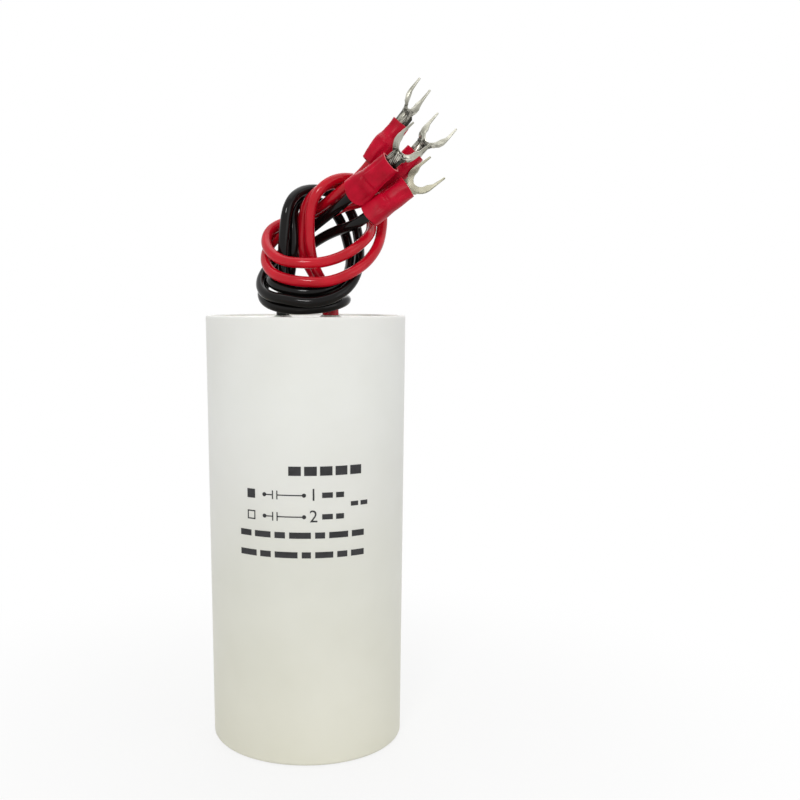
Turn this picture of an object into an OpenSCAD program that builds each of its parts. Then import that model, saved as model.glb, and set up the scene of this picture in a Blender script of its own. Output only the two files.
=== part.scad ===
// Dual motor run capacitor in a potted plastic cup, with four knotted leads that end in fork terminals.
// Millimetres, +Z up, origin at the centre of the base.

/* [Case] */
// Outer diameter of the cup
case_d = 50; // [46:0.5:60]
// Height of the cup
case_h = 110; // [106:1:150]
// Thickness of the cup's side wall
case_wall = 1.5; // [1:0.1:2]
// Thickness of the cup's floor
floor_t = 2; // [1.5:0.1:4]
// Radius of the bottom outside edge
foot_r = 1; // [0.4:0.1:1.4]
// Radius of the rim's two edges
rim_r = 0.3; // [0.1:0.05:0.45]
// Width of the ring that the cup stands on
foot_ring_w = 4; // [2:0.5:8]
// Depth of the recess inside the foot ring
foot_recess = 0.4; // [0.2:0.1:0.8]
// Diameter of the moulding gate mark in the recess
gate_d = 3; // [2:0.5:6]

/* [Potting] */
// Drop from the rim to the resin's flat face
resin_drop = 0.5; // [0.4:0.1:3]
// Width and height of the resin's creep up the wall
creep = 0.3; // [0.1:0.05:0.35]
// Radius that the resin's collar adds round a lead
collar_w = 0.9; // [0.4:0.1:1.5]
// Height of that collar
collar_h = 0.5; // [0.2:0.1:1]

/* [Film elements] */
// Clearance on each side of a tail that runs down between the windings and the wall
tail_gap = 0.45; // [0.3:0.05:0.8]
// Depth of resin over the upper element
resin_cover = 13.3; // [12:0.1:16]
// Share of the film's height that the lower, larger element takes
lower_share = 0.75; // [0.6:0.05:0.8]
// Outer diameter of the core tubes
core_d = 8; // [6:0.5:12]
// Bore of the core tubes
core_bore = 6; // [3:0.5:5.5]
// Thickness of each sprayed zinc face
spray_t = 0.8; // [0.4:0.1:1.2]
// Thickness of the pad under the lower element
pad_t = 1; // [0.5:0.1:2]
// Thickness of the disc between the elements
disc_t = 2; // [1.6:0.1:2.4]

/* [Leads] */
// Outer diameter of a lead's insulation
lead_d = 2.6; // [2.2:0.1:2.6]
// Diameter of the bundle of bare strands
bundle_d = 1.5; // [1.2:0.1:1.6]
// Radius of the bends that a lead makes inside the resin
tail_bend_r = 4; // [3:0.5:5]
// Depth at which a lead turns outward inside the resin
tail_depth = 5; // [4.5:0.5:6]
// Bare length at the end of each lead inside the resin
tail_bare = 2.5; // [2:0.5:4]
// Radius of a solder joint
solder_r = 1.2; // [1:0.1:1.4]

/* [Fork terminals] */
// Width of the slot, for an M4 screw
slot_w = 4.3; // [3.7:0.1:4.6]
// Width across the fork's shoulders
fork_w = 7.2; // [6.6:0.1:8.4]
// Length of the tines from the slot's centre to their tips
tine_len = 4.6; // [3:0.1:7]
// Width of a tine at its tip
tip_w = 0.9; // [0.6:0.1:1.1]
// Thickness of the sheet metal
sheet_t = 0.75; // [0.6:0.05:0.9]
// Length of the crimp barrel
barrel_len = 5; // [4:0.5:6]
// Bore of the crimp barrel
barrel_bore = 1.7; // [1.7:0.1:2]
// Gap between the barrel's two flaps
seam_gap = 0.8; // [0.4:0.1:1]
// Length over which the barrel's flaps slope down to the tongue
flap_slope = 1.2; // [0.8:0.1:1.2]
// Distance from the barrel's front to the centre of the slot
neck_len = 3.5; // [3.5:0.1:6]

/* [Sleeves] */
// Length of a sleeve
sleeve_len = 11.5; // [10:0.5:12]
// Wall of a sleeve
sleeve_wall = 0.5; // [0.4:0.05:0.8]
// Gap between a sleeve and what it covers
sleeve_gap = 0.1; // [0.05:0.05:0.3]
// Extra half-width of a sleeve's flattened mouth
mouth_flare = 1.4; // [0.6:0.1:1.8]

/* [Hidden] */
$fn = 64;

// Heights in the cup, from the floor up
bore_r = case_d / 2 - case_wall;
resin_z = case_h - resin_drop;
winding_r = bore_r - lead_d - 2 * tail_gap;
film_h = resin_z - resin_cover - floor_t - pad_t - disc_t - 4 * spray_t;
lower_h = film_h * lower_share;
upper_h = film_h - lower_h;
pad_z = floor_t;
lower_foot_z = pad_z + pad_t;
lower_z = lower_foot_z + spray_t;
lower_head_z = lower_z + lower_h;
disc_z = lower_head_z + spray_t;
upper_foot_z = disc_z + disc_t;
upper_z = upper_foot_z + spray_t;
upper_head_z = upper_z + upper_h;
stack_top_z = upper_head_z + spray_t;

// Tails run down in the space between the windings and the wall
tail_run_r = (winding_r + bore_r) / 2;

// Lead routes: points from the resin's face up, [x, y, height over the face], on one smooth curve.
// Each pair goes up, over to the right, down, and round its own stem before it leaves through the loop.
route_red_1 = [[7, -1, 0], [7, -1, 2.5], [5.5, -0.5, 7], [3, 0, 10.5], [1.5, 0, 14.5], [1, -0.5, 19],
    [1, -1, 23.5], [1.5, -1.5, 27.5], [3.5, -1.5, 31], [7, -0.5, 33.5], [11.5, 2, 34], [15.5, 4.5, 33],
    [18, 6, 30], [19.5, 5, 25.5], [19, 2.5, 21], [18, -1.5, 17], [15, -5, 13], [11, -7.5, 10.5],
    [6, -8.5, 8.5], [1, -8.5, 8.5], [-4, -7.5, 9], [-8, -5, 10.5], [-10, -1.5, 13], [-10, 2.5, 16.5],
    [-7.5, 5.5, 20], [-3, 7.5, 22], [1.5, 7.5, 24], [6, 5, 25.5], [10, 2.5, 27.5]];
route_red_2 = [[5.5, 1.5, 0], [5.5, 1.5, 2.5], [4.5, 2.5, 6.5], [2, 3, 10.5], [-0.5, 2.5, 14.5],
    [-1, 2, 18.5], [-0.5, 2.5, 22.5], [-0.5, 2, 26.5], [2, 1.5, 30], [5.5, 2, 32.5], [9.5, 4, 33],
    [13, 6, 32], [15.5, 7, 29], [16.5, 6, 25.5], [16.5, 2.5, 22], [16, -1.5, 20], [13, -5.5, 17],
    [9, -7, 14.5], [4, -7.5, 13], [-1, -7.5, 13], [-5.5, -6, 13.5], [-8.5, -3.5, 15.5], [-10, 0, 18],
    [-9.5, 3, 21], [-7, 5, 23], [-3, 5.5, 24], [0.5, 5, 25.5], [4, 3, 27], [7.5, -1, 29.5]];
route_black_1 = [[-6, -1.5, 0], [-6, -1.5, 2.5], [-5.5, -1.5, 7.5], [-5.5, -1.5, 12.5], [-5.5, -2, 17.5],
    [-5, -2, 22], [-4.5, -2, 26.5], [-2.5, 0.5, 30], [0.5, 4.5, 31.5], [4.5, 6.5, 31.5], [8.5, 8, 30],
    [11.5, 8.5, 26.5], [13, 7, 22], [13.5, 4, 18], [13.5, 0, 14], [12.5, -4.5, 9.5], [9.5, -7.5, 6],
    [5, -9, 4], [0, -9, 3.5], [-4.5, -8, 4.5], [-8.5, -5.5, 5], [-11, -2, 6.5], [-11.5, 2.5, 9.5],
    [-9, 7, 13.5], [-4.5, 7, 17.5], [-0.5, 6, 20.5], [3.5, 3.5, 23.5]];
route_black_2 = [[-5.5, 1.5, 0], [-5.5, 1.5, 2.5], [-4.5, 1.5, 7.5], [-3.5, 1, 12.5], [-3, 0.5, 17.5],
    [-3, 0.5, 21.5], [-3.5, 2, 26], [-1.5, 5, 29], [2, 7.5, 29], [5.5, 8.5, 28], [8.5, 9, 25],
    [10, 8.5, 21], [11, 6, 17], [11.5, 3, 13.5], [10.5, -1.5, 10], [8.5, -4.5, 8], [4.5, -6.5, 6.5],
    [0.5, -7, 6], [-4, -6, 6.5], [-8, -4, 8], [-9, 0, 9.5], [-8, 4, 9], [-5, 7, 7], [0, 8, 5],
    [5, 7.5, 4], [9.5, 4.5, 4.5], [10.5, 0.5, 4.5], [9, -3.5, 3.5], [5.5, -6, 2.5], [0.5, -7, 2],
    [-4.5, -6, 2], [-8.5, -4, 3], [-11, 0, 4.5], [-11, 4.5, 7.5], [-8.5, 8.5, 11], [-4.5, 9.5, 14.5],
    [0.5, 7.5, 17.5], [4.5, 4.5, 20], [8.5, 1, 21.5]];
routes = [route_red_1, route_red_2, route_black_1, route_black_2];

// Each terminal: mouth of its sleeve [x, y, height], lean from upright, heading, roll,
// and how far the tips stand out of the sleeve
ends = [
    [[19, -0.75, 31], 43, -4, -22, 10.7],
    [[16, -2, 37], 39, -9, 66, 10.4],
    [[12, -5, 29.5], 54, -24, 35, 9.8],
    [[15.5, -4, 24.5], 55, -7, -18, 8.4]];

// Where each tail runs down beside the elements [angle round the case, height of its solder joint]
tail_runs = [
    [-15, lower_head_z + spray_t / 2],
    [15, lower_foot_z + spray_t / 2],
    [180, stack_top_z],
    [165, upper_foot_z + spray_t / 2]];

approach = 4;
lead_sides = 8;
ring_turn = 36;
ring_run = 9;
gate_h = foot_recess / 2;
barrel_r = barrel_bore / 2 + sheet_t;
strand_d = bundle_d * 0.36;
strand_out = 0.9;
tongue_len = neck_len + tine_len;

case_col = [0.94, 0.94, 0.91];
resin_col = [0.93, 0.91, 0.86];
film_col = [0.72, 0.72, 0.7];
core_col = [0.85, 0.85, 0.82];
zinc_col = [0.6, 0.62, 0.64];
card_col = [0.8, 0.72, 0.55];
tin_col = [0.78, 0.78, 0.74];
strand_col = [0.75, 0.7, 0.62];
sleeve_col = [0.76, 0.06, 0.18];
lead_cols = [[0.8, 0.1, 0.17], [0.8, 0.1, 0.17], [0.1, 0.1, 0.1], [0.1, 0.1, 0.1]];

// ---- curves ----

function unit(v) = v / norm(v);
function lifted(p) = [p[0], p[1], p[2] + resin_z];

// Direction of a terminal's own axis
function axis_of(e) = [sin(e[1]) * cos(e[2]), sin(e[1]) * sin(e[2]), cos(e[1])];

// Length from a sleeve's mouth to its terminal's barrel
function barrel_start(e) = sleeve_len + e[4] - tongue_len - barrel_len;

// The whole route of lead i: its chosen points, then straight through its sleeve to the barrel
function lead_points(i) = let (e = ends[i], u = axis_of(e), mouth = lifted(e[0]), inside = barrel_start(e))
    concat([for (p = routes[i]) lifted(p)],
        [mouth - approach * u, mouth, mouth + inside / 2 * u, mouth + (inside - sleeve_gap) * u]);

// Cubic B-spline of the points, which starts and ends on the first and last of them
function at(p, j) = j < 0 ? 2 * p[0] - p[1] : j >= len(p) ? 2 * p[len(p) - 1] - p[len(p) - 2] : p[j];
function spline(p, j, t) = (pow(1 - t, 3) * at(p, j - 1) + (3 * pow(t, 3) - 6 * t * t + 4) * at(p, j)
    + (-3 * pow(t, 3) + 3 * t * t + 3 * t + 1) * at(p, j + 1) + pow(t, 3) * at(p, j + 2)) / 6;
function fine(p) = concat([for (j = [0 : len(p) - 2]) for (t = [0 : 0.25 : 0.75]) spline(p, j, t)],
    [p[len(p) - 1]]);

// Turn of the curve f at point k
function turn(f, k) = k < 1 || k > len(f) - 2 ? 0 : acos(min(1, unit(f[k] - f[k - 1]) * unit(f[k + 1] - f[k])));

// A ring wherever the curve has turned by ring_turn, or run for ring_run, since the last ring
function rings(f) = concat([f[0]],
    [for (k = 1, hit = false, a = turn(f, 1), d = norm(f[1] - f[0]); k < len(f) - 1;
        hit = a >= ring_turn || d >= ring_run,
        a = (hit ? 0 : a) + turn(f, k + 1),
        d = (hit ? 0 : d) + norm(f[k + 1] - f[k]),
        k = k + 1) if (a >= ring_turn || d >= ring_run) f[k]],
    [f[len(f) - 1]]);

// Direction of the ring k of centres c on the route p: the route's own at its two ends
function heading(c, p, k) = k == 0 ? unit(p[1] - p[0])
    : k == len(c) - 1 ? unit(p[len(p) - 1] - p[len(p) - 2])
    : unit(c[k + 1] - c[k - 1]);

// One side vector per ring, carried along the curve without twist
function sides(h) = [for (k = 0, s = unit(cross(h[0], [0, 1, 0])); k < len(h);
    k = k + 1, s = k < len(h) ? unit(s - (s * h[k]) * h[k]) : s) s];

// Closed tube of radius r along the route p
module tube(p, r, n) {
    c = rings(fine(p));
    h = [for (k = [0 : len(c) - 1]) heading(c, p, k)];
    s = sides(h);
    last = len(c) - 1;
    points = [for (k = [0 : last]) for (a = [0 : n - 1])
        c[k] + r * (cos(a * 360 / n) * s[k] + sin(a * 360 / n) * cross(h[k], s[k]))];
    skin = [for (k = [0 : last - 1]) for (a = [0 : n - 1]) let (b = (a + 1) % n)
        each [[k * n + a, (k + 1) * n + b, k * n + b], [k * n + a, (k + 1) * n + a, (k + 1) * n + b]]];
    polyhedron(points, concat([[for (a = [0 : n - 1]) a]], skin, [[for (a = [n - 1 : -1 : 0]) last * n + a]]));
}

// Moves a terminal or sleeve from its own frame, axis up, to its place on lead i
module at_end(i) {
    translate(lifted(ends[i][0])) rotate([0, ends[i][1], ends[i][2]]) rotate([0, 0, ends[i][3]]) children();
}

// ---- case and potting ----

module case() {
    color(case_col) {
        difference() {
            rotate_extrude($fn = 128) difference() {
                union() {
                    square([case_d / 2 - foot_r, case_h - rim_r]);
                    translate([0, foot_r]) square([case_d / 2, case_h - foot_r - rim_r]);
                    translate([case_d / 2 - foot_r, foot_r]) circle(foot_r);
                    square([case_d / 2 - rim_r, case_h]);
                    translate([case_d / 2 - rim_r, case_h - rim_r]) circle(rim_r);
                }
                translate([0, floor_t]) square([bore_r, case_h]);
            }
            translate([0, 0, -1]) cylinder(r = case_d / 2 - foot_r - foot_ring_w, h = 1 + foot_recess);
        }
        translate([0, 0, foot_recess - gate_h]) cylinder(d = gate_d, h = gate_h + 0.1);
    }
}

module potting_resin() {
    color(resin_col) difference() {
        union() {
            rotate_extrude($fn = 128) polygon([[0, floor_t], [bore_r, floor_t], [bore_r, resin_z + creep],
                [bore_r - creep, resin_z], [0, resin_z]]);
            for (route = routes) translate(lifted(route[0]))
                cylinder(r1 = lead_d / 2 + collar_w, r2 = lead_d / 2 + collar_w / 3, h = collar_h);
        }
        translate([0, 0, floor_t - 1]) cylinder(r = winding_r, h = stack_top_z - floor_t + 1, $fn = 96);
        for (i = [0 : 3]) {
            tail_shape(i);
            solder_shape(i);
            translate(lifted(routes[i][0])) cylinder(d = lead_d + 0.4, h = collar_h + 1);
        }
    }
}

// ---- film elements ----

module disc(z, t) {
    translate([0, 0, z]) cylinder(r = winding_r, h = t, $fn = 96);
}

module core(z, h) {
    color(core_col) translate([0, 0, z]) difference() {
        cylinder(d = core_d, h = h);
        translate([0, 0, -1]) cylinder(d = core_bore, h = h + 2);
    }
}

module winding(z, h) {
    color(film_col) difference() {
        disc(z, h);
        translate([0, 0, z - 1]) cylinder(d = core_d, h = h + 2);
    }
}

// ---- lead tails inside the resin ----

// A lead that turns outward below the resin's face and runs down beside the elements
module side_tail(i) {
    from = routes[i][0];
    to = tail_run_r * [cos(tail_runs[i][0]), sin(tail_runs[i][0])];
    run = [to[0] - from[0], to[1] - from[1]];
    reach = round(10 * norm(run)) / 10;
    end_z = tail_runs[i][1] - spray_t / 2;
    level_z = resin_z - tail_depth;
    translate([from[0], from[1], 0]) rotate([0, 0, atan2(run[1], run[0])]) {
        translate([0, 0, level_z + tail_bend_r]) cylinder(d = lead_d, h = tail_depth - tail_bend_r);
        translate([tail_bend_r, 0, level_z + tail_bend_r]) rotate([-90, 0, 0])
            rotate([0, 0, 90]) rotate_extrude(angle = 90) translate([tail_bend_r, 0]) circle(d = lead_d, $fn = 32);
        translate([tail_bend_r, 0, level_z]) rotate([0, 90, 0]) cylinder(d = lead_d, h = reach - 2 * tail_bend_r);
        translate([reach - tail_bend_r, 0, level_z - tail_bend_r]) rotate([90, 0, 0])
            rotate_extrude(angle = 90) translate([tail_bend_r, 0]) circle(d = lead_d, $fn = 32);
        translate([reach, 0, end_z + tail_bare])
            cylinder(d = lead_d, h = level_z - tail_bend_r - end_z - tail_bare);
        translate([reach, 0, end_z]) cylinder(d = bundle_d, h = tail_bare);
    }
}

// The lead that goes straight down to the top face of the upper element
module straight_tail(i) {
    translate([routes[i][0][0], routes[i][0][1], 0]) {
        translate([0, 0, stack_top_z + tail_bare]) cylinder(d = lead_d, h = resin_z - stack_top_z - tail_bare);
        translate([0, 0, stack_top_z]) cylinder(d = bundle_d, h = tail_bare);
    }
}

module tail_shape(i) {
    if (i == 2) straight_tail(i);
    else side_tail(i);
}

module solder_shape(i) {
    if (i == 2) translate([routes[i][0][0], routes[i][0][1], stack_top_z])
        cylinder(r1 = solder_r * 1.5, r2 = solder_r * 0.7, h = solder_r);
    else rotate([0, 0, tail_runs[i][0]]) translate([winding_r - 1, 0, tail_runs[i][1]])
        rotate([0, 90, 0]) cylinder(r = solder_r, h = tail_run_r + bundle_d / 2 - winding_r + 1.3);
}

module tail(i) {
    color(lead_cols[i]) tail_shape(i);
}

module solder(i) {
    color(zinc_col) difference() {
        solder_shape(i);
        tail_shape(i);
        disc(floor_t, stack_top_z - floor_t);
    }
}

// ---- leads, terminals and sleeves ----

module lead(i) {
    color(lead_cols[i]) tube(lead_points(i), lead_d / 2, lead_sides);
}

// Seven bare strands, from the end of the insulation to just past the barrel
module strands(i) {
    start = barrel_start(ends[i]);
    color(strand_col) at_end(i) translate([0, 0, start]) {
        cylinder(d = strand_d, h = barrel_len + strand_out, $fn = 16);
        for (a = [0 : 60 : 300]) rotate([0, 0, a]) translate([strand_d * 0.88, 0, 0])
            cylinder(d = strand_d, h = barrel_len + strand_out, $fn = 16);
    }
}

// The fork's outline in its plane: x across, y along, from the barrel's front at y = 0
module fork_outline() {
    tip_x = fork_w / 2 - tip_w / 2;
    root_x = sqrt(pow(barrel_r, 2) - pow(barrel_r - sheet_t, 2));
    difference() {
        union() {
            translate([-root_x, 0]) square([2 * root_x, neck_len]);
            translate([0, neck_len]) circle(d = fork_w);
            polygon([[-fork_w / 2, neck_len], [fork_w / 2, neck_len],
                [fork_w / 2, tongue_len - tip_w / 2], [-fork_w / 2, tongue_len - tip_w / 2]]);
            for (side = [-1, 1]) translate([side * tip_x, tongue_len - tip_w / 2]) circle(d = tip_w, $fn = 24);
        }
        translate([0, neck_len]) circle(d = slot_w);
        polygon([[-slot_w / 2, neck_len], [slot_w / 2, neck_len],
            [fork_w / 2 - tip_w, tongue_len - tip_w / 2], [fork_w / 2 - tip_w, tongue_len + 1],
            [-fork_w / 2 + tip_w, tongue_len + 1], [-fork_w / 2 + tip_w, tongue_len - tip_w / 2]]);
    }
}

module fork(i) {
    slope_angle = atan2(2 * barrel_r - sheet_t, flap_slope);
    color(tin_col) at_end(i) translate([0, 0, barrel_start(ends[i])]) {
        // barrel, open along its front, its flaps cut down to the tongue
        difference() {
            cylinder(r = barrel_r, h = barrel_len + flap_slope);
            translate([0, 0, -1]) cylinder(d = barrel_bore, h = barrel_len + flap_slope + 2);
            translate([-seam_gap / 2, -barrel_r - 1, -1]) cube([seam_gap, barrel_r + 1, barrel_len + flap_slope + 2]);
            translate([0, -barrel_r, barrel_len]) rotate([90 - slope_angle, 0, 0])
                translate([-barrel_r - 1, -2 * barrel_r, 0]) cube([2 * barrel_r + 2, 6 * barrel_r, 4 * barrel_r]);
        }
        // tongue and tines, flush with the back of the barrel
        translate([0, barrel_r - sheet_t, barrel_len]) rotate([90, 0, 0]) translate([0, 0, -sheet_t])
            linear_extrude(sheet_t) fork_outline();
    }
}

// Half sizes of a sleeve along its length: [place, half width, half depth] of its bore
function sleeve_bore(i) = let (wire = lead_d / 2 + sleeve_gap, held = barrel_r + sleeve_gap,
        from = barrel_start(ends[i]))
    [[0, wire + mouth_flare, wire + 0.2], [from * 0.35, wire + mouth_flare * 0.8, wire + 0.2],
     [from * 0.75, held + 0.6, held + 0.4], [from, held + 0.2, held], [sleeve_len, held + 0.1, held]];

module sleeve(i) {
    n = 24;
    bore = sleeve_bore(i);
    m = len(bore);
    // outer sections up, then bore sections down, joined into one closed ring of sections
    loops = concat([for (s = bore) [s[0], s[1] + sleeve_wall, s[2] + sleeve_wall]],
        [for (k = [m - 1 : -1 : 0]) bore[k]]);
    points = [for (s = loops) for (a = [0 : n - 1]) [s[1] * cos(a * 360 / n), s[2] * sin(a * 360 / n), s[0]]];
    skin = [for (k = [0 : 2 * m - 1]) for (a = [0 : n - 1]) let (b = (a + 1) % n, q = (k + 1) % (2 * m))
        each [[k * n + a, q * n + b, k * n + b], [k * n + a, q * n + a, q * n + b]]];
    color(sleeve_col) at_end(i) polyhedron(points, skin);
}

// ---- nodes ----

case();
potting_resin();
color(card_col) disc(pad_z, pad_t);  // bottom_pad
winding(lower_z, lower_h);  // lower_winding
core(lower_z, lower_h);  // lower_core
color(zinc_col) disc(lower_foot_z, spray_t);  // lower_bottom_spray
color(zinc_col) disc(lower_head_z, spray_t);  // lower_top_spray
color(card_col) disc(disc_z, disc_t);  // middle_disc
winding(upper_z, upper_h);  // upper_winding
core(upper_z, upper_h);  // upper_core
color(zinc_col) disc(upper_foot_z, spray_t);  // upper_bottom_spray
color(zinc_col) disc(upper_head_z, spray_t);  // upper_top_spray
tail(0);  // red_tail_1
tail(1);  // red_tail_2
tail(2);  // black_tail_1
tail(3);  // black_tail_2
solder(0);  // red_solder_1
solder(1);  // red_solder_2
solder(2);  // black_solder_1
solder(3);  // black_solder_2
lead(0);  // red_lead_1
lead(1);  // red_lead_2
lead(2);  // black_lead_1
lead(3);  // black_lead_2
strands(0);  // red_strands_1
strands(1);  // red_strands_2
strands(2);  // black_strands_1
strands(3);  // black_strands_2
fork(0);  // red_fork_1
fork(1);  // red_fork_2
fork(2);  // black_fork_1
fork(3);  // black_fork_2
sleeve(0);  // red_sleeve_1
sleeve(1);  // red_sleeve_2
sleeve(2);  // black_sleeve_1
sleeve(3);  // black_sleeve_2
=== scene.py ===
import math
import random

import bpy
import bmesh
from mathutils import Matrix, Vector


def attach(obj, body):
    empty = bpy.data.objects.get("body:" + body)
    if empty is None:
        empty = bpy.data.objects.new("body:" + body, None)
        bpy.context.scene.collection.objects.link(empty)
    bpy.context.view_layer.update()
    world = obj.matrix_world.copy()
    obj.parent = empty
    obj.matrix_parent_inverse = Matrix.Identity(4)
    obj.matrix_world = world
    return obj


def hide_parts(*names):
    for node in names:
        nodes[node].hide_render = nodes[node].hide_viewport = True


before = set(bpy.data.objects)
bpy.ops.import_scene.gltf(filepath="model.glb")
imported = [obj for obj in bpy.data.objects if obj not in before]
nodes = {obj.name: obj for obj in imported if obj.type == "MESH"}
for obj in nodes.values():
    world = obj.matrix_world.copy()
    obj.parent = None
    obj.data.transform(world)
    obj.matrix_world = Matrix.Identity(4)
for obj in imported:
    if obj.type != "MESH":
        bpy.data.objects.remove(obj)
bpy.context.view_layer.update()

mm = 0.001
resinFace = 109.5  # height of the potting's top face, in mm
cupHeight = 110.0
scene = bpy.context.scene


# camera, at the height of the rim and looking a little down
shot = {
    "place": (0.0062, -0.26479, 0.11494),
    "tiltDown": 11.115,
    "lens": 46.66,
    "sensor": 36,
    "near": 0.01,
    "shift": (0.087, 0.1236),
}
bpy.ops.object.camera_add(location=shot["place"], rotation=(math.radians(90 - shot["tiltDown"]), 0, 0))
eye = bpy.context.object
eye.data.lens = shot["lens"]
eye.data.sensor_width = shot["sensor"]
eye.data.shift_x, eye.data.shift_y = shot["shift"]
eye.data.clip_start = shot["near"]
scene.camera = eye
print("camera placed")


# small helpers

def tone(red, green, blue):
    # a paint-chip colour from 0 to 255, as the shader wants it
    return tuple((c / 255 / 12.92 if c < 11 else ((c / 255 + 0.055) / 1.055) ** 2.4) for c in (red, green, blue)) + (1,)


def nothingSelected():
    if bpy.context.object and bpy.context.object.mode != "OBJECT":
        bpy.ops.object.mode_set(mode="OBJECT")
    bpy.ops.object.select_all(action="DESELECT")


def only(piece):
    nothingSelected()
    piece.select_set(True)
    bpy.context.view_layer.objects.active = piece


def settle(piece, name, material, stands=(), angle=35):
    # finished piece: named, at the origin, on the body, in its material
    only(piece)
    bpy.ops.object.transform_apply(location=True, rotation=True, scale=True)
    if angle:
        bpy.ops.object.shade_smooth_by_angle(angle=math.radians(angle))
    piece.name = piece.data.name = name
    piece.data.materials.clear()
    piece.data.materials.append(material)
    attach(piece, "root")
    if stands:
        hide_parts(*stands)
    return piece


def pick(mesh, faces=None, edges=None):
    # selects faces or edges by a test on them, and nothing else
    for group in (mesh.verts, mesh.edges, mesh.faces):
        for item in group:
            item.select = False
    for item in (mesh.faces if faces else mesh.edges):
        if (faces or edges)(item):
            item.select_set(True)


def bakeModifiers(piece):
    only(piece)
    for modifier in list(piece.modifiers):
        bpy.ops.object.modifier_apply(modifier=modifier.name)


def roundEdges(piece, label, width, fromAngle):
    # a small rounding on every edge that is sharper than an angle
    rounding = piece.modifiers.new(label, "BEVEL")
    rounding.width = width
    rounding.segments = 2
    rounding.limit_method = "ANGLE"
    rounding.angle_limit = math.radians(fromAngle)


def faceOutwards(piece):
    only(piece)
    bpy.ops.object.mode_set(mode="EDIT")
    bpy.ops.mesh.select_all(action="SELECT")
    bpy.ops.mesh.normals_make_consistent(inside=False)
    bpy.ops.object.mode_set(mode="OBJECT")


def place(end):
    # from a terminal's own frame, its axis up, to where it lies
    x, y, z = end["mouth"]
    return (Matrix.Translation(Vector((x, y, z + resinFace)) * mm)
            @ Matrix.Rotation(math.radians(end["heading"]), 4, "Z")
            @ Matrix.Rotation(math.radians(end["lean"]), 4, "Y")
            @ Matrix.Rotation(math.radians(end["roll"]), 4, "Z"))


def blendTo(points, at):
    # smooth value between listed (place, value) pairs
    if at <= points[0][0]:
        return points[0][1]
    for (a, p), (b, q) in zip(points, points[1:]):
        if at <= b:
            t = (at - a) / (b - a)
            t = t * t * (3 - 2 * t)
            return p + (q - p) * t
    return points[-1][1]


# shared effects, each built once as a node group
grain = {"broadDetail": 4, "fineDetail": 6, "fineRoughness": 0.6, "fineShare": 0.35,
         "toneSpan": (0.35, 0.65), "roughSpan": (0.3, 0.9)}
scuff = {"turn": (0.4, 0.9, 0.5), "stretch": (1, 1, 0.06), "detail": 3, "crests": (0.6, 0.7)}


def setSpan(node, side, span):
    node.inputs[side + " Min"].default_value, node.inputs[side + " Max"].default_value = span


def newGroup(name, inputs, outputs):
    group = bpy.data.node_groups.new(name, "ShaderNodeTree")
    for label, value in inputs:
        socket = group.interface.new_socket(name=label, in_out="INPUT", socket_type="NodeSocketFloat")
        socket.default_value = value
    for label in outputs:
        group.interface.new_socket(name=label, in_out="OUTPUT", socket_type="NodeSocketFloat")
    return group, group.nodes.new("NodeGroupInput"), group.nodes.new("NodeGroupOutput")


def makeGrainGroup():
    # mottling at two scales, on the piece's own coordinates
    group, inward, outward = newGroup("softGrain", [("Broad scale", 60), ("Fine scale", 900)],
                                      ["Broad", "Fine", "Mixed"])
    n, link = group.nodes, group.links.new
    where = n.new("ShaderNodeTexCoord")
    broad, fine = n.new("ShaderNodeTexNoise"), n.new("ShaderNodeTexNoise")
    broad.inputs["Detail"].default_value = grain["broadDetail"]
    fine.inputs["Detail"].default_value = grain["fineDetail"]
    fine.inputs["Roughness"].default_value = grain["fineRoughness"]
    mixed = n.new("ShaderNodeMath")
    mixed.operation = "MULTIPLY_ADD"
    mixed.inputs[1].default_value = grain["fineShare"]
    link(where.outputs["Object"], broad.inputs["Vector"])
    link(where.outputs["Object"], fine.inputs["Vector"])
    link(inward.outputs["Broad scale"], broad.inputs["Scale"])
    link(inward.outputs["Fine scale"], fine.inputs["Scale"])
    link(fine.outputs["Fac"], mixed.inputs[0])
    link(broad.outputs["Fac"], mixed.inputs[2])
    link(broad.outputs["Fac"], outward.inputs["Broad"])
    link(fine.outputs["Fac"], outward.inputs["Fine"])
    link(mixed.outputs[0], outward.inputs["Mixed"])
    return group


def makeScuffGroup():
    # thin stray scratches: stretched noise cut to its crests
    group, inward, outward = newGroup("stretchScuffs", [("Scale", 300), ("Amount", 0.5)], ["Mask"])
    n, link = group.nodes, group.links.new
    where, turn = n.new("ShaderNodeTexCoord"), n.new("ShaderNodeMapping")
    turn.inputs["Rotation"].default_value = scuff["turn"]
    turn.inputs["Scale"].default_value = scuff["stretch"]
    noise, cut = n.new("ShaderNodeTexNoise"), n.new("ShaderNodeMapRange")
    noise.inputs["Detail"].default_value = scuff["detail"]
    setSpan(cut, "From", scuff["crests"])
    strength = n.new("ShaderNodeMath")
    strength.operation = "MULTIPLY"
    link(where.outputs["Object"], turn.inputs["Vector"])
    link(turn.outputs["Vector"], noise.inputs["Vector"])
    link(inward.outputs["Scale"], noise.inputs["Scale"])
    link(noise.outputs["Fac"], cut.inputs["Value"])
    link(cut.outputs["Result"], strength.inputs[0])
    link(inward.outputs["Amount"], strength.inputs[1])
    link(strength.outputs[0], outward.inputs["Mask"])
    return group


grainGroup = makeGrainGroup()
scuffGroup = makeScuffGroup()


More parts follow.
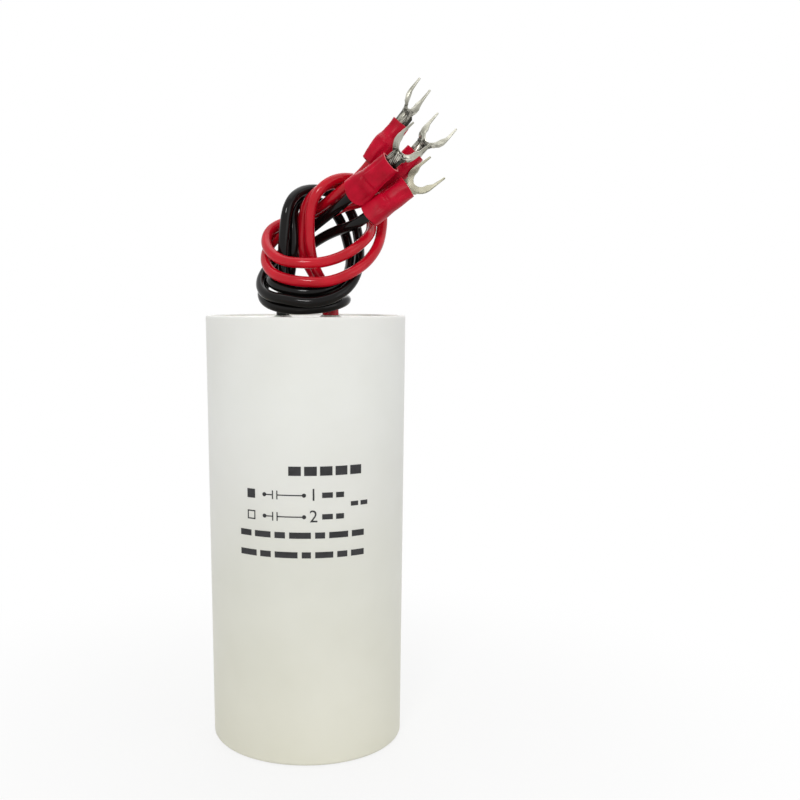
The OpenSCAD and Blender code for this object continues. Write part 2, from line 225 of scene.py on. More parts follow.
def paintShadeByHeight(tree, colour, shades):
    # painted light and shade: multiplies the colour by a tint that changes with height, darker and warmer at the foot
    # and lighter at the rim, as the light falls on the cup
    n, link = tree.nodes, tree.links.new
    where, split, height = n.new("ShaderNodeTexCoord"), n.new("ShaderNodeSeparateXYZ"), n.new("ShaderNodeMapRange")
    ramp, heightShaded = n.new("ShaderNodeValToRGB"), n.new("ShaderNodeMix")
    setSpan(height, "From", (0, cupHeight * mm))
    while len(ramp.color_ramp.elements) < len(shades):
        ramp.color_ramp.elements.new(0.5)
    for element, (at, shade) in zip(ramp.color_ramp.elements, shades):
        element.position, element.color = at, shade
    heightShaded.data_type, heightShaded.blend_type = "RGBA", "MULTIPLY"
    heightShaded.inputs["Factor"].default_value = 1
    link(where.outputs["Object"], split.inputs[0])
    link(split.outputs["Z"], height.inputs["Value"])
    link(height.outputs["Result"], ramp.inputs["Fac"])
    link(colour, heightShaded.inputs["A"])
    link(ramp.outputs["Color"], heightShaded.inputs["B"])
    return heightShaded.outputs["Result"]


def addPaintedShadeStreaks(tree, colour, lines):
    # painted shade: dark streaks along the rolled sheet, on the blank's own layout, fading out towards the prongs
    n, link = tree.nodes, tree.links.new
    layout, stretch, split = n.new("ShaderNodeUVMap"), n.new("ShaderNodeMapping"), n.new("ShaderNodeSeparateXYZ")
    streaks, cut, fade = n.new("ShaderNodeTexNoise"), n.new("ShaderNodeMapRange"), n.new("ShaderNodeMapRange")
    share, lined = n.new("ShaderNodeMath"), n.new("ShaderNodeMix")
    layout.uv_map = "UVMap"
    stretch.inputs["Scale"].default_value = (lines["across"], lines["along"], 1)
    streaks.inputs["Detail"].default_value = lines["detail"]
    streaks.inputs["Roughness"].default_value = lines["roughness"]
    streaks.inputs["Scale"].default_value = lines["scale"]
    setSpan(cut, "From", lines["cut"])
    setSpan(fade, "From", (lines["to"], lines["from"]))
    share.operation = "MULTIPLY"
    lined.data_type = "RGBA"
    lined.inputs["B"].default_value = lines["shade"]
    link(layout.outputs["UV"], stretch.inputs["Vector"])
    link(layout.outputs["UV"], split.inputs[0])
    link(stretch.outputs["Vector"], streaks.inputs["Vector"])
    link(streaks.outputs["Fac"], cut.inputs["Value"])
    link(split.outputs["Y"], fade.inputs["Value"])
    link(cut.outputs["Result"], share.inputs[0])
    link(fade.outputs["Result"], share.inputs[1])
    link(share.outputs[0], lined.inputs["Factor"])
    link(colour, lined.inputs["A"])
    return lined.outputs["Result"]


def newMaterial(name, look):
    # two tones mixed by the grain, then any painted shade that the look lists, roughness between two values, and a
    # faint relief
    material = bpy.data.materials.new(name)
    material.use_nodes = True
    tree = material.node_tree
    n, link = tree.nodes, tree.links.new
    shader = n["Principled BSDF"]
    for socket, value in look.get("sockets", {}).items():
        shader.inputs[socket].default_value = value
    mottle, scuffs = n.new("ShaderNodeGroup"), n.new("ShaderNodeGroup")
    mottle.node_tree, scuffs.node_tree = grainGroup, scuffGroup
    mottle.inputs["Broad scale"].default_value = look["broad"]
    mottle.inputs["Fine scale"].default_value = look["fine"]
    scuffs.inputs["Scale"].default_value = look.get("scuffScale", 300)
    scuffs.inputs["Amount"].default_value = look.get("scuffs", 0.2)
    colours, spread = n.new("ShaderNodeMix"), n.new("ShaderNodeMapRange")
    colours.data_type = "RGBA"
    colours.inputs["A"].default_value = look["dark"]
    colours.inputs["B"].default_value = look["light"]
    setSpan(spread, "From", grain["toneSpan"])
    link(mottle.outputs["Broad"], spread.inputs["Value"])
    link(spread.outputs["Result"], colours.inputs["Factor"])
    colour = colours.outputs["Result"]
    # painted shade on the cup: darker towards the foot, lighter towards the rim
    if "paintedShadeByHeight" in look:
        colour = paintShadeByHeight(tree, colour, look["paintedShadeByHeight"])
    # painted shade: dark streaks on the rolled part of a terminal
    if "paintedShadeStreaks" in look:
        colour = addPaintedShadeStreaks(tree, colour, look["paintedShadeStreaks"])
    link(colour, shader.inputs["Base Color"])
    rough, worn = n.new("ShaderNodeMapRange"), n.new("ShaderNodeMath")
    setSpan(rough, "From", grain["roughSpan"])
    setSpan(rough, "To", look["rough"])
    worn.operation = "MULTIPLY_ADD"
    worn.inputs[1].default_value = look.get("scuffRough", 0.1)
    link(mottle.outputs["Mixed"], rough.inputs["Value"])
    link(scuffs.outputs["Mask"], worn.inputs[0])
    link(rough.outputs["Result"], worn.inputs[2])
    link(worn.outputs[0], shader.inputs["Roughness"])
    bump = n.new("ShaderNodeBump")
    bump.inputs["Strength"].default_value = look.get("relief", 0.1)
    bump.inputs["Distance"].default_value = look.get("depth", 0.05) * mm
    link(mottle.outputs["Mixed"], bump.inputs["Height"])
    link(bump.outputs["Normal"], shader.inputs["Normal"])
    return material


looks = {
    "whitePolypropylene": {"dark": tone(235, 235, 232), "light": tone(243, 243, 242), "broad": 25, "fine": 700,
                           "rough": (0.38, 0.5), "relief": 0.12, "depth": 0.06, "scuffs": 0.3,
                           # painted light and shade by height: darker and warmer at the foot, lighter at the rim
                           "paintedShadeByHeight": [(0, tone(247, 245, 229)), (0.42, tone(246, 246, 237)),
                                      (0.62, tone(249, 249, 244)), (0.85, tone(254, 255, 251)),
                                      (1, tone(255, 255, 252))],
                           "sockets": {"Subsurface Weight": 0.12, "Subsurface Scale": 0.004,
                                       "Subsurface Radius": (1, 0.95, 0.85), "IOR": 1.49,
                                       "Specular IOR Level": 0.35}},
    "castResin": {"dark": tone(232, 229, 219), "light": tone(242, 240, 232), "broad": 70, "fine": 1300,
                  "rough": (0.22, 0.42), "relief": 0.6, "depth": 0.35,
                  "sockets": {"Subsurface Weight": 0.1, "Subsurface Scale": 0.003}},
    "redLeadPvc": {"dark": tone(182, 8, 28), "light": tone(206, 14, 39), "broad": 140, "fine": 2500,
                   "rough": (0.08, 0.16), "relief": 0.06, "depth": 0.03,
                   "sockets": {"Specular IOR Level": 0.27}},
    "blackLeadPvc": {"dark": tone(10, 8, 8), "light": tone(17, 15, 14), "broad": 140, "fine": 2500,
                     "rough": (0.07, 0.14), "relief": 0.06, "depth": 0.03,
                     "sockets": {"Specular IOR Level": 0.2}},
    "crimsonSleevePvc": {"dark": tone(168, 4, 34), "light": tone(200, 7, 46), "broad": 260, "fine": 1800,
                         "rough": (0.3, 0.42), "relief": 0.2, "depth": 0.08,
                         "sockets": {"Specular IOR Level": 0.14}},
    # painted highlight: a paler pink on the sleeves' cut ends
    "sleeveEndHighlight": {"dark": tone(214, 88, 96), "light": tone(236, 132, 134), "broad": 500, "fine": 3000,
                      "rough": (0.5, 0.7), "relief": 0.3, "depth": 0.05, "sockets": {"Specular IOR Level": 0.2}},
    "tinnedBrass": {"dark": tone(158, 157, 144), "light": tone(200, 198, 186), "broad": 300, "fine": 5000,
                    "rough": (0.28, 0.42), "relief": 0.22, "depth": 0.05, "scuffs": 0.6, "scuffScale": 900,
                    "scuffRough": 0.15, "sockets": {"Metallic": 1.0},
                    # painted shade: dark streaks on the rolled barrel and neck, fading out towards the prongs
                    "paintedShadeStreaks": {"across": 8, "along": 1.4, "scale": 1.5, "detail": 5, "roughness": 0.65,
                                  "cut": (0.45, 0.53), "from": 0.5, "to": 0.72, "shade": tone(58, 57, 52)}},
    "mattPlate": {"dark": tone(144, 142, 124), "light": tone(184, 181, 162), "broad": 420, "fine": 3500,
                  "rough": (0.42, 0.58), "relief": 0.25, "depth": 0.05, "scuffs": 0.3, "scuffScale": 900,
                  "sockets": {"Metallic": 1.0}},
    "tinnedCopper": {"dark": tone(66, 64, 59), "light": tone(206, 203, 192), "broad": 700, "fine": 6000,
                     "rough": (0.2, 0.36), "relief": 0.1, "depth": 0.02, "sockets": {"Metallic": 1.0}},
    "metallisedFilm": {"dark": tone(158, 160, 160), "light": tone(190, 192, 190), "broad": 40, "fine": 2200,
                       "rough": (0.22, 0.4), "relief": 0.2, "sockets": {"Metallic": 0.7}},
    "corePlastic": {"dark": tone(205, 204, 196), "light": tone(222, 221, 214), "broad": 90, "fine": 1200,
                    "rough": (0.45, 0.6), "relief": 0.15},
    "pressedBoard": {"dark": tone(186, 164, 120), "light": tone(208, 188, 146), "broad": 300, "fine": 3000,
                     "rough": (0.7, 0.9), "relief": 0.5, "depth": 0.1},
    "sprayedZinc": {"dark": tone(120, 124, 128), "light": tone(160, 163, 166), "broad": 500, "fine": 4000,
                    "rough": (0.55, 0.8), "relief": 0.8, "depth": 0.15, "sockets": {"Metallic": 0.9}},
    "tinSolder": {"dark": tone(160, 160, 156), "light": tone(196, 196, 190), "broad": 300, "fine": 2500,
                  "rough": (0.25, 0.4), "relief": 0.2, "sockets": {"Metallic": 1.0}},
    "printInk": {"dark": tone(20, 20, 22), "light": tone(44, 44, 46), "broad": 400, "fine": 5000,
                 "rough": (0.5, 0.7), "relief": 0.2, "depth": 0.02},
}
paint = {name: newMaterial(name, look) for name, look in looks.items()}
print("materials made:", len(paint))


# leads: routes from the potting's face up, in mm, as points of one smooth curve
routes = {
    "red_lead_1": [
        (7, -1, 0), (7, -1, 2.5), (5.5, -0.5, 7), (3, 0, 10.5), (1.5, 0, 14.5), (1, -0.5, 19),
        (1, -1, 23.5), (1.5, -1.5, 27.5), (3.5, -1.5, 31), (7, -0.5, 33.5), (11.5, 2, 34), (15.5, 4.5, 33),
        (18, 6, 30), (19.5, 5, 25.5), (19, 2.5, 21), (18, -1.5, 17), (15, -5, 13), (11, -7.5, 10.5),
        (6, -8.5, 8.5), (1, -8.5, 8.5), (-4, -7.5, 9), (-8, -5, 10.5), (-10, -1.5, 13), (-10, 2.5, 16.5),
        (-7.5, 5.5, 20), (-3, 7.5, 22), (1.5, 7.5, 24), (6, 5, 25.5), (10, 2.5, 27.5)],
    "red_lead_2": [
        (5.5, 1.5, 0), (5.5, 1.5, 2.5), (4.5, 2.5, 6.5), (2, 3, 10.5), (-0.5, 2.5, 14.5),
        (-1, 2, 18.5), (-0.5, 2.5, 22.5), (-0.5, 2, 26.5), (2, 1.5, 30), (5.5, 2, 32.5), (9.5, 4, 33),
        (13, 6, 32), (15.5, 7, 29), (16.5, 6, 25.5), (16.5, 2.5, 22), (16, -1.5, 20), (13, -5.5, 17),
        (9, -7, 14.5), (4, -7.5, 13), (-1, -7.5, 13), (-5.5, -6, 13.5), (-8.5, -3.5, 15.5), (-10, 0, 18),
        (-9.5, 3, 21), (-7, 5, 23), (-3, 5.5, 24), (0.5, 5, 25.5), (4, 3, 27), (7.5, -1, 29.5)],
    "black_lead_1": [
        (-6, -1.5, 0), (-6, -1.5, 2.5), (-5.5, -1.5, 7.5), (-5.5, -1.5, 12.5), (-5.5, -2, 17.5),
        (-5, -2, 22), (-4.5, -2, 26.5), (-2.5, 0.5, 30), (0.5, 4.5, 31.5), (4.5, 6.5, 31.5), (8.5, 8, 30),
        (11.5, 8.5, 26.5), (13, 7, 22), (13.5, 4, 18), (13.5, 0, 14), (12.5, -4.5, 9.5), (9.5, -7.5, 6),
        (5, -9, 4), (0, -9, 3.5), (-4.5, -8, 4.5), (-8.5, -5.5, 5), (-11, -2, 6.5), (-11.5, 2.5, 9.5),
        (-9, 7, 13.5), (-4.5, 7, 17.5), (-0.5, 6, 20.5), (3.5, 3.5, 23.5)],
    "black_lead_2": [
        (-5.5, 1.5, 0), (-5.5, 1.5, 2.5), (-4.5, 1.5, 7.5), (-3.5, 1, 12.5), (-3, 0.5, 17.5),
        (-3, 0.5, 21.5), (-3.5, 2, 26), (-1.5, 5, 29), (2, 7.5, 29), (5.5, 8.5, 28), (8.5, 9, 25),
        (10, 8.5, 21), (11, 6, 17), (11.5, 3, 13.5), (10.5, -1.5, 10), (8.5, -4.5, 8), (4.5, -6.5, 6.5),
        (0.5, -7, 6), (-4, -6, 6.5), (-8, -4, 8), (-9, 0, 9.5), (-8, 4, 9), (-5, 7, 7), (0, 8, 5),
        (5, 7.5, 4), (9.5, 4.5, 4.5), (10.5, 0.5, 4.5), (9, -3.5, 3.5), (5.5, -6, 2.5), (0.5, -7, 2),
        (-4.5, -6, 2), (-8.5, -4, 3), (-11, 0, 4.5), (-11, 4.5, 7.5), (-8.5, 8.5, 11), (-4.5, 9.5, 14.5),
        (0.5, 7.5, 17.5), (4.5, 4.5, 20), (8.5, 1, 21.5)],
}
lead = {"diameter": 2.6, "smoothness": 10, "roundness": 6, "straight": 4, "endGap": 0.1}

# where each sleeve's mouth lies, how the terminal is turned, and how far its tips stand out
ends = {
    "red_lead_1": {"mouth": (19, -0.75, 31), "lean": 43, "heading": -4, "roll": -22, "out": 10.7},
    "red_lead_2": {"mouth": (16, -2, 37), "lean": 39, "heading": -9, "roll": 66, "out": 10.4},
    "black_lead_1": {"mouth": (12, -5, 29.5), "lean": 54, "heading": -24, "roll": 35, "out": 9.8},
    "black_lead_2": {"mouth": (15.5, -4, 24.5), "lean": 55, "heading": -7, "roll": -18, "out": 8.4},
}
sleeve = {"length": 11.5, "wall": 0.5, "sides": 64, "rows": 46, "edge": 0.08,
          "squareness": 2.5, "squareMouth": 0.6, "squareReach": 6, "tongueReach": 4,
          # the last pair sets how far from the front and back ends the faces get the painted highlight
          "wavers": ((3, 0.7, 0.035), (5, -1.3, 0.025)), "mouthWave": 0.08, "highlightedEnds": (1.5, 0.6)}
fork = {"slot": 4.3, "width": 7.2, "tine": 4.6, "sheet": 0.75, "barrel": 5.0, "neck": 3.5,
        "columns": 25, "edge": 0.07, "slit": 0.12, "waist": 1.5, "shoulder": 0.5}


def barrelStart(end):
    return sleeve["length"] + end["out"] - fork["tine"] - fork["neck"] - fork["barrel"]


def leadPoints(name):
    end = ends[name]
    along = place(end).to_3x3() @ Vector((0, 0, 1))
    mouth = Vector(end["mouth"])
    inside = barrelStart(end)
    points = [Vector(p) for p in routes[name]]
    points += [mouth - along * lead["straight"], mouth, mouth + along * inside / 2,
               mouth + along * (inside - lead["endGap"])]
    return [(p + Vector((0, 0, resinFace))) * mm for p in points]


def makeLead(name):
    points = leadPoints(name)
    # one more point past each end starts and stops the curve on the first and last
    points = [points[0] * 2 - points[1]] + points + [points[-1] * 2 - points[-2]]
    bpy.ops.curve.primitive_nurbs_path_add(location=(0, 0, 0))
    piece = bpy.context.object
    shape = piece.data
    shape.splines.clear()
    line = shape.splines.new("NURBS")
    line.points.add(len(points) - 1)
    for point, spot in zip(line.points, points):
        point.co = (*spot, 1)
    line.order_u = 4
    line.use_endpoint_u = False
    line.resolution_u = lead["smoothness"]
    shape.dimensions = "3D"
    shape.bevel_depth = lead["diameter"] / 2 * mm
    shape.bevel_resolution = lead["roundness"]
    shape.use_fill_caps = True
    piece.name = shape.name = name.replace("_lead_", "Lead")
    colour = name.split("_")[0]
    shape.materials.append(paint[colour + "LeadPvc"])
    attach(piece, "root")
    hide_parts(name)
    return piece


leads = {name: makeLead(name) for name in routes}
print("leads laid:", len(leads))


# fork terminals: a flat blank with a slotted head, its root rolled into an open barrel
# curl lists how tightly the sheet is rolled, in 1/mm, at distances from the barrel's front, and root its half
# width there; the open kind is crimped less, so its strands show, and the plate kind is flat from the sleeve on
forkKinds = {
    "folded": {"barrel": 5.2, "bore": 1.9, "seam": 2.1, "neck": 3.5,
               "curl": [(0.7, 0.5), (1.5, 0.28), (2.4, 0.12), (3.6, 0.03), (4.6, 0)],
               "root": [(0.8, 2.2), (1.8, 1.5)]},
    "open": {"barrel": 5.4, "bore": 2.1, "seam": 2.6, "neck": 3.0,
             "curl": [(0.6, 0.42), (1.3, 0.26), (2.2, 0.12), (3.4, 0.03), (4.4, 0)],
             "root": [(0.8, 2.2), (1.8, 1.5)]},
    "plate": {"barrel": 5.3, "bore": 1.7, "seam": 0.9, "neck": 3.8,
              "curl": [(0.3, 0.3), (0.8, 0.1), (1.6, 0.02), (2.6, 0)],
              "root": [(0.3, 2.3), (1.0, 2.3), (2.2, 1.5)]},
}
kindOf = {"red_lead_1": "folded", "red_lead_2": "folded", "black_lead_1": "open", "black_lead_2": "plate"}
prong = {"root": 1.35, "middle": 0.6, "middleAt": 0.36, "tip": 0.38, "least": 0.1, "lean": 0.15, "thinning": 0.55}
jaws = {"at": -2.9, "length": 0.75, "bite": 0.13}  # where the crimping tool closed
forkSteps = {"barrel": 14, "root": 7, "slot": (0, 18, 30, 42, 54, 66, 78, 90), "prong": 7, "tip": (30, 60, 90)}


def barrelFront(name):
    # distance from a sleeve's mouth, along its axis, to the front of the crimped barrel in it
    return sleeve["length"] + ends[name]["out"] - fork["tine"] - forkKinds[kindOf[name]]["neck"]


def forkBlank(kind, at):
    # half width of the blank, half width of its slot and its curl, at a distance from the barrel's front
    middle = (kind["bore"] + fork["sheet"]) / 2
    head = fork["width"] / 2
    rolled = math.pi * middle - kind["seam"] / 2
    slotRadius = fork["slot"] / 2
    centre, tips = kind["neck"], kind["neck"] + fork["tine"]
    curl = blendTo([(0, 1 / middle)] + kind["curl"], at)
    if at <= 0:
        half = rolled
    else:
        ring = math.sqrt(max(0.1, head * head - (at - centre) ** 2)) if at < centre else head
        half = max(blendTo([(0, rolled)] + kind["root"], at), ring if at > fork["shoulder"] else fork["waist"])
    hollow = 0.0
    if at > centre:
        # a prong thins quickly from the slot's round end, then slowly to its tip
        along = (at - centre) / fork["tine"]
        half = head - prong["lean"] * along
        hollow = half - blendTo([(0, prong["root"]), (prong["middleAt"], prong["middle"]), (1, prong["tip"])], along)
    elif at > centre - slotRadius:
        hollow = math.sqrt(slotRadius ** 2 - (centre - at) ** 2)
    tipRadius = prong["tip"] / 2
    if at > tips - tipRadius:
        reach = max(prong["least"], math.sqrt(max(0.0, tipRadius ** 2 - (at - tips + tipRadius) ** 2)))
        half, hollow = (half + hollow) / 2 + reach, (half + hollow) / 2 - reach
    return half, hollow, curl


def forkRows(kind):
    # where the blank's rows lie: barrel, root, round end of the slot, prongs and their round tips
    centre, slotRadius = kind["neck"], fork["slot"] / 2
    tips, tipRadius = kind["neck"] + fork["tine"], prong["tip"] / 2
    root, steps = centre - slotRadius, forkSteps
    rows = [-kind["barrel"] + kind["barrel"] * k / steps["barrel"] for k in range(steps["barrel"] + 1)]
    rows += [root * k / steps["root"] for k in range(1, steps["root"])]
    rows += [centre - slotRadius * math.cos(math.radians(a)) for a in steps["slot"]]
    rows += [centre + (fork["tine"] - tipRadius) * k / steps["prong"] for k in range(1, steps["prong"] + 1)]
    rows += [tips - tipRadius + tipRadius * math.sin(math.radians(a)) for a in steps["tip"]]
    return rows


def modelFork(kindName):
    # the sheet is rolled row by row, then its middle strip is cut out for the slot
    kind = forkKinds[kindName]
    rows = forkRows(kind)
    bpy.ops.mesh.primitive_grid_add(x_subdivisions=fork["columns"], y_subdivisions=len(rows) - 1, size=1)
    piece = bpy.context.object
    middle = (kind["bore"] + fork["sheet"]) / 2
    columns = sorted({round(v.co.x, 5) for v in piece.data.vertices})
    levels = sorted({round(v.co.y, 5) for v in piece.data.vertices})
    perSide = len(columns) // 2
    for vertex in piece.data.vertices:
        column, at = columns.index(round(vertex.co.x, 5)), rows[levels.index(round(vertex.co.y, 5))]
        half, hollow, curl = forkBlank(kind, at)
        side = -1 if column < perSide else 1
        share = (perSide - 1 - column if side < 0 else column - perSide) / (perSide - 1)
        inner = max(hollow, fork["slit"])
        reach = side * (inner + share * (half - inner))
        bite = jaws["bite"] * math.exp(-((at - jaws["at"]) / jaws["length"]) ** 2)
        x, y = reach, middle
        if curl > 1e-4:
            x, y = math.sin(curl * reach) / curl, middle - (1 - math.cos(curl * reach)) / curl
        vertex.co = Vector((x * (1 + bite / 2), middle + (y - middle) * (1 - bite), at))
    # the prongs are hammered thinner towards their tips
    gauge = piece.vertex_groups.new(name="gauge")
    for vertex in piece.data.vertices:
        along = (vertex.co.z - kind["neck"] + 1) / (fork["tine"] + 1)
        gauge.add([vertex.index], blendTo([(0, 1), (1, prong["thinning"])], along), "REPLACE")
    only(piece)
    bpy.ops.object.mode_set(mode="EDIT")
    bpy.ops.mesh.select_mode(type="FACE")
    mesh = bmesh.from_edit_mesh(piece.data)
    slotStart = kind["neck"] - fork["slot"] / 2
    pick(mesh, faces=lambda f: abs(f.calc_center_median().x) < 0.05 and f.calc_center_median().z > slotStart)
    bpy.ops.mesh.delete(type="FACE")
    bpy.ops.object.mode_set(mode="OBJECT")
    thick = piece.modifiers.new("sheet", "SOLIDIFY")
    thick.thickness = fork["sheet"]
    thick.offset = 0
    thick.vertex_group = gauge.name
    thick.thickness_vertex_group = 0
    roundEdges(piece, "stamped edges", fork["edge"], fromAngle=50)
    bakeModifiers(piece)
    piece.vertex_groups.clear()
    faceOutwards(piece)
    return piece


def copyOnto(pattern, name, label, material, angle):
    # a copy with its own mesh, carried from the terminal's frame to its place
    only(pattern)
    bpy.ops.object.duplicate(linked=False)
    piece = bpy.context.object
    piece.data.transform(Matrix.Scale(mm, 4))
    piece.data.transform(place(ends[name]) @ Matrix.Translation((0, 0, barrelFront(name) * mm)))
    node = name.replace("lead", label)
    return settle(piece, name.replace("_lead_", label.capitalize()), material, [node], angle)


def dropPattern(piece):
    only(piece)
    bpy.ops.object.delete()


for kindName in forkKinds:
    pattern = modelFork(kindName)
    for name in (n for n in routes if kindOf[n] == kindName):
        finish = "mattPlate" if kindName == "plate" else "tinnedBrass"
        copyOnto(pattern, name, "fork", paint[finish], 40)
    dropPattern(pattern)


# strands: a twisted bundle held in the barrel, a little ragged in front of it
strandLay = {"points": 15, "twist": -0.42, "ringTurn": 0.26, "uneven": (0.5, 1.05), "stray": 0.12,
             "strayFrom": 0.8, "strayGrowth": 5, "start": 0.02}
bundles = {
    "folded": {"strand": 0.37, "spread": 0.37, "past": 1.0},
    "open": {"strand": 0.42, "spread": 0.43, "past": 1.0},
    "plate": {"strand": 0.32, "spread": 0.31, "past": 0.3},
}


def modelStrands(kindName):
    kind, bundle = forkKinds[kindName], bundles[kindName]
    rng = random.Random(kindName)
    spots = [(0, 0)]
    for ring in (1, 2):
        for k in range(6 * ring):
            angle = 2 * math.pi * k / (6 * ring) + strandLay["ringTurn"] * ring
            spots.append((ring * bundle["spread"] * math.cos(angle), ring * bundle["spread"] * math.sin(angle)))
    bpy.ops.curve.primitive_bezier_curve_add(location=(0, 0, 0))
    piece = bpy.context.object
    shape = piece.data
    shape.splines.clear()
    for x, y in spots:
        line = shape.splines.new("POLY")
        length = kind["barrel"] + bundle["past"] * rng.uniform(*strandLay["uneven"])
        line.points.add(strandLay["points"] - 1)
        stray = strandLay["stray"]
        lean = Vector((rng.uniform(-stray, stray), rng.uniform(-stray, stray)))
        for k, point in enumerate(line.points):
            t = k / (strandLay["points"] - 1)
            spot = Matrix.Rotation(strandLay["twist"] * t * length, 2) @ Vector((x, y))
            spot += lean * max(0, t - strandLay["strayFrom"]) * strandLay["strayGrowth"]
            point.co = (spot.x, spot.y, strandLay["start"] + t * length - kind["barrel"], 1)
    shape.dimensions = "3D"
    shape.bevel_depth = bundle["strand"] / 2
    shape.bevel_resolution = 2
    shape.use_fill_caps = True
    only(piece)
    bpy.ops.object.convert(target="MESH")
    return bpy.context.object


for kindName in bundles:
    pattern = modelStrands(kindName)
    for name in (n for n in routes if kindOf[n] == kindName):
        copyOnto(pattern, name, "strands", paint["tinnedCopper"], 35)
    dropPattern(pattern)


# sleeves: soft tube, flattened and flared at the mouth and gripped by the barrel
# form gives (distance from the mouth, half width, half depth) of the outside, tongue how far the mouth's
# middle hangs back, and each dent its (distance, angle round, length, width in degrees, depth)
sleeveForms = {
    "red_lead_1": {
        "form": [(0, 3.2, 1.95), (3, 3.0, 2.1), (6, 2.8, 2.3), (8.5, 2.6, 2.3), (11.5, 2.5, 2.25)],
        "tongue": 0.5,
        "dents": [(5, 240, 2.4, 16, 0.3), (8.6, 300, 1.8, 16, 0.28), (6.6, 265, 0.4, 50, 0.25)]},
    "red_lead_2": {
        "form": [(0, 2.75, 1.95), (2, 2.95, 2.2), (5.5, 2.95, 2.6), (7.8, 2.25, 2.3), (9.5, 2.15, 2.2),
                 (11.5, 2.2, 2.2)],
        "tongue": 0.3,
        "dents": [(7.4, 270, 0.8, 80, 0.3), (5.9, 200, 0.6, 40, -0.25), (3.4, 232, 2.6, 14, 0.34),
                  (9.8, 100, 2.0, 40, 0.2), (4.4, 305, 1.6, 14, 0.3)]},
    "black_lead_1": {
        "form": [(0, 3.75, 1.9), (2.2, 3.6, 2.05), (4.2, 3.2, 2.3), (5.2, 2.95, 2.5), (8, 2.8, 2.4),
                 (11.5, 2.7, 2.3)],
        "tongue": 1.3,
        "dents": [(4.7, 262, 0.3, 42, 0.42), (3.7, 250, 0.8, 45, -0.28), (7.6, 205, 3.0, 12, 0.35),
                  (7.8, 318, 3.0, 12, 0.3), (1.8, 305, 1.6, 16, 0.35), (8.4, 262, 2.2, 40, 0.22)]},
    "black_lead_2": {
        "form": [(0, 3.25, 1.95), (3, 3.1, 2.2), (6, 2.85, 2.45), (9, 2.8, 2.35), (11.5, 2.8, 2.25)],
        "tongue": 0.8,
        "dents": [(3.6, 292, 2.6, 16, 0.34), (7.8, 230, 2.6, 12, 0.3), (5.8, 262, 0.35, 45, 0.3),
                  (4.9, 255, 0.7, 45, -0.2), (9.0, 305, 2.0, 12, 0.25)]},
}


def makeSleeve(name):
    made = sleeveForms[name]
    widths, depths = [(p[0], p[1]) for p in made["form"]], [(p[0], p[2]) for p in made["form"]]
    rows, step = sleeve["rows"], sleeve["length"] / sleeve["rows"]
    bpy.ops.mesh.primitive_circle_add(vertices=sleeve["sides"], radius=1, location=(0, 0, 0))
    piece = bpy.context.object
    only(piece)
    bpy.ops.object.mode_set(mode="EDIT")
    bpy.ops.mesh.select_mode(type="VERT")
    bpy.ops.mesh.select_all(action="SELECT")
    w, d = blendTo(widths, 0), blendTo(depths, 0)
    bpy.ops.transform.resize(value=(w, d, 1), center_override=(0, 0, 0))
    for row in range(1, rows + 1):
        at = sleeve["length"] * row / rows
        bpy.ops.mesh.extrude_region_move(TRANSFORM_OT_translate={"value": (0, 0, step)})
        wide, deep = blendTo(widths, at), blendTo(depths, at)
        bpy.ops.transform.resize(value=(wide / w, deep / d, 1), center_override=(0, 0, at))
        w, d = wide, deep
    bpy.ops.object.mode_set(mode="OBJECT")
    # pressed flats, dents and wavers, all pushed straight in or out
    rng = random.Random(name + "sleeve")
    wander = [rng.uniform(0, 6.28) for _ in range(3)]
    for vertex in piece.data.vertices:
        x, y, at = vertex.co
        w, d = blendTo(widths, at), blendTo(depths, at)
        angle = math.atan2(y / d, x / w)
        flat = 2 / (sleeve["squareness"] + sleeve["squareMouth"] * max(0, 1 - at / sleeve["squareReach"]))
        c, s = math.cos(angle), math.sin(angle)
        x, y = w * math.copysign(abs(c) ** flat, c), d * math.copysign(abs(s) ** flat, s)
        push = sum(height * math.sin(turns * angle + start + at * drift)
                   for (turns, drift, height), start in zip(sleeve["wavers"], wander))
        for centre, heading, length, width, depth in made["dents"]:
            away = (math.degrees(angle) - heading + 180) % 360 - 180
            push += depth * math.exp(-((at - centre) / length) ** 2 - (away / width) ** 2)
        size = math.hypot(x, y)
        back = made["tongue"] * (1 - (x / w) ** 2) * max(0, 1 - at / sleeve["tongueReach"])
        wave = sleeve["mouthWave"] * math.sin(2 * angle + wander[2])
        vertex.co = Vector((x * (1 - push / size), y * (1 - push / size), at - back + wave))
    faceOutwards(piece)
    wall = piece.modifiers.new("wall", "SOLIDIFY")
    wall.thickness = sleeve["wall"]
    wall.offset = -1
    roundEdges(piece, "cut ends", sleeve["edge"], fromAngle=60)
    bakeModifiers(piece)
    # the faces of both cut ends get a paler pink, a painted highlight
    front, back = sleeve["highlightedEnds"][0], sleeve["length"] - sleeve["highlightedEnds"][1]
    cut = [f.index for f in piece.data.polygons if abs(f.normal.z) > 0.5 and not front < f.center.z < back]
    piece.data.transform(Matrix.Scale(mm, 4))
    piece.data.transform(place(ends[name]))
    settle(piece, name.replace("_lead_", "Sleeve"), paint["crimsonSleevePvc"],
           [name.replace("lead", "sleeve")], angle=60)
    # second slot: the painted highlight on the cut ends
    piece.data.materials.append(paint["sleeveEndHighlight"])
    for index in cut:
        piece.data.polygons[index].material_index = 1
    return piece


sleeves = {name: makeSleeve(name) for name in routes}
print("sleeves pulled on:", len(sleeves))


# each lead carries its own terminal, strands and sleeve; this loop only works out each lead's first point and keeps
# nothing
for name, piece in leads.items():
    tuple(leadPoints(name)[0])


# cup: turned-up foot, thin rim, recessed underside with its moulding gate
cup = {"radius": 25.0, "height": cupHeight, "wall": 1.5, "floor": 2.0, "foot": 1.0, "rim": 0.5, "footRing": 4.0,
       "recess": 0.4, "gate": 1.5, "segments": 192, "footSteps": 5, "rimSteps": 3}


